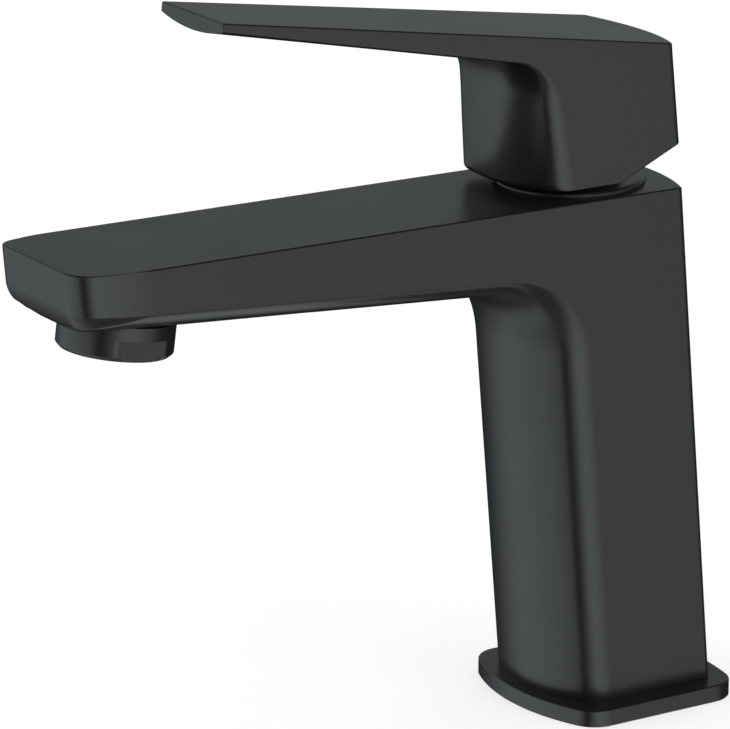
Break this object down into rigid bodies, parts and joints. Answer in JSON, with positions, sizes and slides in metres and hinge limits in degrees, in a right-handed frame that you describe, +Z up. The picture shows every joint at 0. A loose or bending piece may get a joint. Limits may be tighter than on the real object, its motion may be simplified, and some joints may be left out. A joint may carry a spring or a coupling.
{
  "type": "single lever basin mixer faucet",
  "caption": "Single-lever basin mixer: leaning square column on a base plate, long flat spout with outlet insert, and a lever over a ceramic disc cartridge.",
  "frame": {"origin": "centre of the base plate's underside, on the deck", "axes": "+Z up from the deck, the spout and the lever reach towards -Y, +X is the side of the cold inlet"},
  "size_m": [0.05, 0.1752, 0.1764],
  "materials": {
    "matte_black": "matt powder coat, fine texture",
    "rubber": "matt",
    "outlet_plastic": "satin",
    "steel": "fine mesh",
    "brass": "machined",
    "cartridge_plastic": "satin moulded",
    "ceramic": "lapped ceramic",
    "carrier_plastic": "satin moulded",
    "pin_steel": "ground",
    "limit_plastic": "satin moulded",
    "dark_steel": "black oxide"
  },
  "bodies": {
    "faucet_body": {"base_plate": "matte_black", "base_gasket": "rubber", "body": "matte_black", "aerator_housing": "matte_black", "aerator_insert": "outlet_plastic", "aerator_screen": "steel", "aerator_seal": "rubber", "cover_ring": "matte_black", "retaining_nut": "brass", "cartridge_housing": "cartridge_plastic", "cartridge_base": "cartridge_plastic", "port_seal_hot": "rubber", "port_seal_cold": "rubber", "port_seal_mixed": "rubber", "base_o_ring": "rubber", "fixed_disc": "ceramic", "limit_ring": "limit_plastic"},
    "rotor": {"spindle": "cartridge_plastic", "pivot_pin": "pin_steel"},
    "slider": {"moving_disc": "ceramic", "disc_carrier": "carrier_plastic"},
    "handle": {"lever": "matte_black", "lever_stem": "pin_steel", "set_screw": "dark_steel", "screw_plug": "rubber"}
  },
  "joints": [
    {"name": "temperature", "type": "hinge", "parent": "faucet_body", "child": "rotor", "pos_m": [0, -0.01085, 0.125], "axis": [0, 0, 1], "range_deg": [-45, 45]},
    {"name": "flow", "type": "hinge", "parent": "rotor", "child": "handle", "pos_m": [0, -0.01085, 0.132], "axis": [-1, 0, 0], "range_deg": [0, 21]},
    {"name": "disc_shift", "type": "slide", "parent": "rotor", "child": "slider", "axis": [0, -1, 0], "range_m": [0, 0.0037]}
  ],
  "couplings": [
    {"joint": "disc_shift", "follows": "flow", "m_per_rad": 0.00985}
  ]
}
